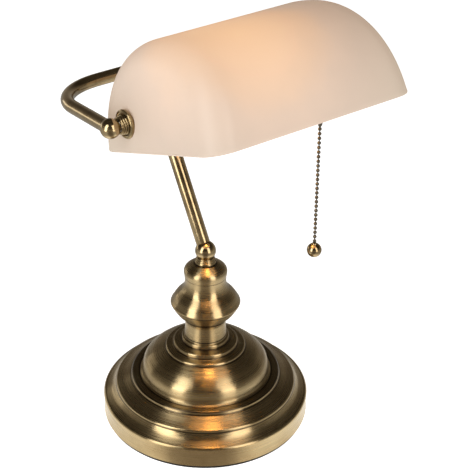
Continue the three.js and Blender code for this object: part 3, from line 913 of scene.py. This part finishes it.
def shade_skin(less, boss):
    """One face of the glass, less mm in from the outside: rows along it and polar rings on each end wall.

    boss is the pivot hole's radius, its flat's radius and how far out the flat stands. Returns points,
    faces, and the rim's point numbers in order.
    """
    around, bends, along, foot = 96, 14, 24, 24
    ts = [math.pi * k / around for k in range(around + 1)]
    turns = [math.pi / 2 * (1 - i / bends) for i in range(bends + 1)]
    points, rows = [], []

    def add(row):
        rows.append(list(range(len(points), len(points) + len(row))))
        points.extend(row)

    for a in turns:
        add([barrel_point(-1, a, t, less) for t in ts])
    left = [barrel_point(-1, 0, t, less) for t in ts]
    right = [barrel_point(1, 0, t, less) for t in ts]
    for i in range(along - 1):
        add([p.lerp(q, (i + 1) / along) for p, q in zip(left, right)])
    for a in reversed(turns):
        add([barrel_point(1, a, t, less) for t in ts])
    faces = []
    for low, high in zip(rows, rows[1:]):
        for k in range(around):
            faces.append((low[k], low[k + 1], high[k + 1], high[k]))
    rim_front = [row[0] for row in rows]
    rim_back = [row[-1] for row in rows]
    feet = []
    for side, row in ((-1, rows[0]), (1, rows[-1])):
        start, end = points[row[-1]], points[row[0]]
        foot_row = list(range(len(points), len(points) + foot - 1))
        points.extend(start.lerp(end, (i + 1) / foot) for i in range(foot - 1))
        feet.append(foot_row)
        faces += end_wall(points, side, row + foot_row, less, boss)
    rim = rim_front + feet[1][::-1] + rim_back[::-1] + feet[0]
    return points, faces, rim


def end_wall(points, side, outline, less, boss):
    """Polar rings from the pivot hole out to the outline of an end wall."""
    hole, flat, x_flat = boss
    wall_start, rings = flat + 0.25, 12
    faces = []
    outline_points = [points[i].copy() for i in outline]
    directions = [math.atan2(p.z, p.y) for p in outline_points]

    def circle(radius, x):
        start = len(points)
        points.extend(Vector((side * x, radius * math.cos(d), radius * math.sin(d))) for d in directions)
        return list(range(start, start + len(directions)))

    loops = [circle(radius, x_flat) for radius in (hole, flat - 0.4, flat)]
    for k in range(rings):
        start = len(points)
        for target, d in zip(outline_points, directions):
            foot = Vector((0, wall_start * math.cos(d), wall_start * math.sin(d)))
            p = foot.lerp(Vector((0, target.y, target.z)), k / rings)
            p.x = side * wall_x(p.z + SHADE["rim"], less)
            points.append(p)
        loops.append(list(range(start, start + len(directions))))
    loops.append(outline)
    for inner, outer in zip(loops, loops[1:]):
        for k in range(len(outline)):
            j = (k + 1) % len(outline)
            faces.append((inner[k], inner[j], outer[j], outer[k]))
    return faces


def build_shade():
    hole = NIPPLE["hole"] + 0.2
    outer, outer_faces, outer_rim = shade_skin(0, (hole, 11.6, SHADE["seat"]))
    inner, inner_faces, inner_rim = shade_skin(SHADE["wall"], (hole, 14.3, SHADE["boss"]))
    lift, lip = 1.5, 8  # how far the lip hangs below the two skins, and the steps round it
    for skin, rim in ((outer, outer_rim), (inner, inner_rim)):
        for i in rim:
            skin[i].z += lift
    points = outer + inner
    shift = len(outer)
    faces = [(f, 0) for f in outer_faces]
    faces += [(tuple(i + shift for i in reversed(f)), 1) for f in inner_faces]
    loops = [outer_rim]
    for j in range(1, lip):
        turn = math.pi * j / lip
        row = []
        for a, b in zip(outer_rim, inner_rim):
            p, q = outer[a], inner[b]
            middle, half = (p + q) / 2, (p - q) / 2
            row.append(len(points))
            points.append(middle + half * math.cos(turn) - Vector((0, 0, lift * math.sin(turn))))
        loops.append(row)
    loops.append([i + shift for i in inner_rim])
    count = len(outer_rim)
    for one, two in zip(loops, loops[1:]):
        for k in range(count):
            j = (k + 1) % count
            faces.append(((one[k], one[j], two[j], two[k]), 0))
    placed = [SHADE_PLACE @ p for p in points]
    mesh = bpy.data.meshes.new("glass")
    mesh.from_pydata([p * MM for p in placed], [], [f for f, _ in faces])
    for face, (_, index) in zip(mesh.polygons, faces):
        face.material_index = index
    finish_glass(mesh)
    show("shade", mesh, "glass", "inside")


def finish_glass(mesh):
    """Joins the two skins at the pivot holes and makes all faces point out."""
    made = bmesh.new()
    made.from_mesh(mesh)
    bmesh.ops.remove_doubles(made, verts=made.verts, dist=SAME_POINT)
    holes = [e for e in made.edges if e.is_boundary]
    if holes:
        bmesh.ops.bridge_loops(made, edges=[e for e in holes if e.verts[0].co.x < 0])
        bmesh.ops.bridge_loops(made, edges=[e for e in holes if e.verts[0].co.x > 0])
    bmesh.ops.recalc_face_normals(made, faces=made.faces)
    made.to_mesh(mesh)
    made.free()
    smooth(mesh, 40)


# ---- lampholder and bulb ----

HOLDER_PLACE = pointing(Vector((1, 0, 0)), PIVOT)


def thread(outer, inner, low, high, pitch):
    """The rolled rings of a screw thread."""
    count = int((high - low) / pitch)
    out = []
    for i in range(count):
        z = low + i * pitch
        out += [(inner, z), (outer, z + pitch * 0.5)]
    return curve([*out, (inner, low + count * pitch)], 4)


def build_holder():
    hole = NIPPLE["hole"]
    skirt = [(19, 58.4), (19, 66), *arc(18.9, 67.2, 1.0, -90, 90, 8), (18.9, 68.4), (19, 72)]
    crown = [*arc(12, 75.4, 7, 0, 80, 12), (hole, 82.8)]
    cap = [*skirt, *crown, (hole, 81.6), (12, 81.2), (17.8, 75.4), (17.8, 58.4)]
    show("holder_cap", lathe(cap, 96, HOLDER_PLACE), "collar")
    rolled = [(18.2, 36), (18.2, 40), *arc(18.1, 41.2, 0.8, -90, 90, 8), (18.2, 42.4)]
    shell = [*rolled, (18.2, 54), *arc(18.3, 56.2, 1, -90, 90, 8), (18.2, 58.1), (17.2, 58.1), (17.2, 36)]
    show("holder_shell", lathe(shell, 96, HOLDER_PLACE), "collar")
    show("switch_block", ring(3.6, 15.6, 60.4, 74, 64, HOLDER_PLACE, 0.8), "porcelain")
    show("holder_insulator", ring(15.4, 16.8, 37.4, 58, 64, HOLDER_PLACE, 0.4), "porcelain")
    screw = [(15, 38.6), *thread(14.8, 14.2, 39, 55.5, 3.6), (14.6, 56.4), (13.6, 56.4), (13.6, 38.6)]
    show("screw_shell", lathe(screw, 64, HOLDER_PLACE, ease=0.2), "contact")
    contact = [(0, 57.2), (4.6, 57.2), (4.6, 58), (3.8, 58.6), (0, 58.6)]
    show("centre_contact", lathe(contact, 48, HOLDER_PLACE, True, 0.3), "contact")
    cap = [(0, 56.4), (3.6, 56.4), (3.6, 55.4), (9, 54), *thread(13.1, 12.5, 31, 53, 3.6)[::-1]]
    cap += [(12.9, 29.6), (12.1, 29.6), (11.6, 50), (0, 51)]
    show("bulb_cap", lathe(cap, 64, HOLDER_PLACE, True, 0.2), "cap")
    middle, radius, bore = 6, 22.4, 21.5
    outside = arc(0, middle, radius, 50, -90, 40)
    inside = arc(0, middle, bore, -90, 48, 40)
    outside[-1], inside[0] = (0, middle - radius), (0, middle - bore)
    globe = [(11.4, 34), *curve([(11.4, 33), (11.7, 29), outside[0]], 5), *outside[1:]]
    hollow = [*inside, *curve([inside[-1], (10.9, 29), (10.6, 34)], 5)[1:]]
    show("bulb_glass", turned([*globe[::-1], *hollow[::-1]], 72, HOLDER_PLACE, False), "bulb")


# ---- pull chain ----

CHAIN_PLACE = Matrix.Translation((CHAIN["x"], PIVOT.y - CHAIN["forward"], 0))

# The guide's flared mouth: the height above its end, its radius and its bore's radius.
MOUTH_FLARE = (
    (3.4, 4.0, 3.0), (2.4, 4.1, 3.0), (1.6, 4.5, 3.2), (0.9, 5.1, 3.8), (0.4, 5.6, 4.4), (0.1, 5.5, 4.8),
    (0, 5.2, 5.0),
)


def chain_guide():
    """The elbow out of the lampholder, ending in a flared mouth."""
    bend, forward, mouth = 6.5, CHAIN["forward"], CHAIN["mouth"]
    start = Vector((0, forward - 19.6, PIVOT.z))
    path = [start, Vector((0, bend + 6, PIVOT.z))]
    steps = 16
    for i in range(steps + 1):
        a = math.pi / 2 * i / steps
        path.append(Vector((0, bend * (1 - math.sin(a)), PIVOT.z - bend * (1 - math.cos(a)))))
    outer, bore = [4.0] * len(path), [3.0] * len(path)
    for height, wide, clear in MOUTH_FLARE:
        path.append(Vector((0, 0, mouth + height)))
        outer.append(wide)
        bore.append(clear)
    return sweep([CHAIN_PLACE @ p for p in path], outer, bore, 48)


def bead_run(high, count):
    """Beads on a wire, the first one centred at height high. Each end is a bead."""
    bead, wire = CHAIN["bead"], CHAIN["wire"]
    touch = math.degrees(math.asin(wire / bead))
    outline = []
    for i in range(count):
        centre = high - i * CHAIN["pitch"]
        start = 90 if i == 0 else 90 - touch
        end = -90 if i == count - 1 else touch - 90
        outline += arc(0, centre, bead, start, end, 12)
    outline[0], outline[-1] = (0, outline[0][1]), (0, outline[-1][1])
    return outline


def bead_mesh(high, count):
    return lathe(bead_run(high, count), 24, CHAIN_PLACE, True, 0)


def run_between(top, bottom):
    """How many beads fit, and the height where the last one ends."""
    bead, pitch = CHAIN["bead"], CHAIN["pitch"]
    count = int((top - bottom - 2 * bead) / pitch) + 1
    return count, top - 2 * bead - (count - 1) * pitch


def build_chain():
    bead, pitch, mouth = CHAIN["bead"], CHAIN["pitch"], CHAIN["mouth"]
    first = mouth + 5.4
    link = first - 2 * pitch
    show("chain_guide", chain_guide(), "ball")
    show("chain_upper", bead_mesh(first, 2), "chain")
    show("chain_link", bead_mesh(link, 1), "chain")

    lead_top = link - bead - GAP
    lead_count, lead_end = run_between(lead_top, 295)
    bell_top = lead_end - GAP
    bell_foot = bell_top - CHAIN["bell"]
    low_top = bell_foot - GAP
    low_count, low_end = run_between(low_top, CHAIN["ball_z"] + CHAIN["ball"] + 0.6)
    neck = low_end - GAP

    flank = curve([(1.9, bell_top), (2.1, bell_top - 1.2), (1.8, bell_top - 3), (0.9, bell_foot)])
    outline = [(0, bell_top), *flank, (0, bell_foot)]
    bell = show("chain_bell", lathe(outline, 32, CHAIN_PLACE, True, 0.1), "chain")
    drop = [(0, neck), (1.8, neck), (2, neck - 1.1), *arc(0, CHAIN["ball_z"], CHAIN["ball"], 66, -90, 30)]
    drop[-1] = (0, CHAIN["ball_z"] - CHAIN["ball"])
    knob = show("chain_ball", lathe(drop, 48, CHAIN_PLACE, True, 0.2), "tube")

    lead = show("lead_chain", bead_mesh(lead_top - bead, lead_count), "chain")
    beads = show("pull_chain", bead_mesh(low_top - bead, low_count), "chain")


def dress_inner_lead():
    """The flex inside the lamp keeps its CAD shape and gets a material."""
    lead = frame["nodes"]["inner_lead"]
    lead.data.materials.clear()
    lead.data.materials.append(MATERIALS["lead"])


build_chain()
build_base()
build_column()
build_yoke()
build_clamps()
build_shade()
build_holder()
dress_inner_lead()

# ---- studio ----

# What the metal mirrors in the floor, by the angle from the front as a share of half a turn.
FLOOR_MIRROR = [
    (0.0, (0.46, 0.39, 0.32)),
    (0.11, (0.5, 0.44, 0.37)),
    (0.2, (1.6, 1.56, 1.46)),
    (0.46, (1.6, 1.57, 1.48)),
    (0.6, (1.2, 1.17, 1.1)),
    (1.0, (0.8, 0.79, 0.75)),
]
WHITE = (1, 1, 1)
BLACK = (0.02, 0.02, 0.02)


def stage_mesh(name, corners, faces, material, hidden_from):
    """Adds a part of the studio, which some kinds of ray pass through."""
    mesh = bpy.data.meshes.new(name)
    mesh.from_pydata(corners, [], faces)
    mesh.materials.append(material)
    made = put_in_scene(name, mesh)
    for ray in hidden_from:
        setattr(made, f"visible_{ray}", False)


def add_floor():
    """A white floor. Metal mirrors a second sheet instead: pale to each side, dim in front and far off."""
    reach = 12
    corners = [(-reach, -reach, 0), (reach, -reach, 0), (reach, reach, 0), (-reach, reach, 0)]
    n = Nodes("floor_paper")
    n.set(base_color=(0.55, 0.55, 0.55), roughness=0.9, emission_color=WHITE, emission_strength=1.0)
    stage_mesh("floor", corners, [(0, 1, 2, 3)], n.material, ["glossy"])
    m = Nodes("floor_mirrored")
    place = m.add("SeparateXYZ")
    m.link(m.place(), place.inputs[0])
    angle = m.math("ARCTAN2", place.outputs["Y"], place.outputs["X"])
    front = math.radians(CAMERA["azimuth"] - 90)
    off = m.math("PINGPONG", m.math("SUBTRACT", angle, front), math.pi)
    shade = m.ramp(m.span(off, 0.0, 1.0, 0.0, math.pi), FLOOR_MIRROR)
    near = m.span(m.length(m.place()), 1.0, 0.35, 0.15, 0.35)
    m.set(base_color=BLACK, roughness=1.0, emission_color=shade, emission_strength=near)
    hidden_from = ["camera", "diffuse", "transmission", "shadow"]
    stage_mesh("floor_mirrored", corners, [(0, 1, 2, 3)], m.material, hidden_from)


def add_backdrop():
    """A pale wall right round the floor, which only the camera sees, so that low views end in white too."""
    n = Nodes("backdrop_paper")
    n.set(base_color=BLACK, roughness=1.0, emission_color=WHITE, emission_strength=0.93)
    count, reach, low, high = 64, 11, -1, 22
    angles = [math.tau * i / count for i in range(count)]
    corners = [(reach * math.sin(a), reach * math.cos(a), z) for z in (low, high) for a in angles]
    walls = [(i, (i + 1) % count, (i + 1) % count + count, i + count) for i in range(count)]
    stage_mesh("backdrop", corners, walls, n.material, ["glossy", "diffuse", "transmission", "shadow"])


LIT_POINT = Vector((0, 0, 0.15))  # where the lights aim


def add_softbox(name, azimuth, elevation, distance, size, power, colour):
    """An area light round the lamp. Its azimuth is counted from the camera's, in degrees."""
    away = heading(CAMERA["azimuth"] + azimuth, elevation)
    data = bpy.data.lights.new(name, "AREA")
    data.shape = "RECTANGLE"
    data.size, data.size_y = size
    data.energy = power
    data.color = colour
    light = put_in_scene(name, data)
    light.location = LIT_POINT + away * distance
    light.rotation_euler = away.to_track_quat("Z", "Y").to_euler()
    light.visible_camera = False


def add_world():
    """A dim room, which the metal mirrors between the lights: paler low down, dark above."""
    world = bpy.data.worlds.new("studio")
    scene.world = world
    world.use_nodes = True
    nodes, links = world.node_tree.nodes, world.node_tree.links
    kinds = ("TexCoord", "SeparateXYZ", "ValToRGB")
    direction, split, ramp = (nodes.new("ShaderNode" + kind) for kind in kinds)
    low, high = ramp.color_ramp.elements
    low.position, low.color = 0.08, (0.34, 0.3, 0.25, 1)
    high.position, high.color = 0.42, (0.06, 0.052, 0.042, 1)
    links.new(direction.outputs["Generated"], split.inputs[0])
    links.new(split.outputs["Z"], ramp.inputs["Fac"])
    links.new(ramp.outputs["Color"], nodes["Background"].inputs["Color"])


scene.view_settings.view_transform = "Standard"
add_floor()
add_backdrop()
add_world()
add_softbox("softbox_left", -46, 26, 1.6, (0.66, 1.9), 18, (1.0, 0.985, 0.95))
add_softbox("softbox_right", 42, 26, 1.6, (0.66, 1.9), 14, (1.0, 0.94, 0.88))
add_softbox("softbox_behind", -122, 4, 1.7, (0.9, 0.3), 1.3, (1.0, 0.97, 0.9))
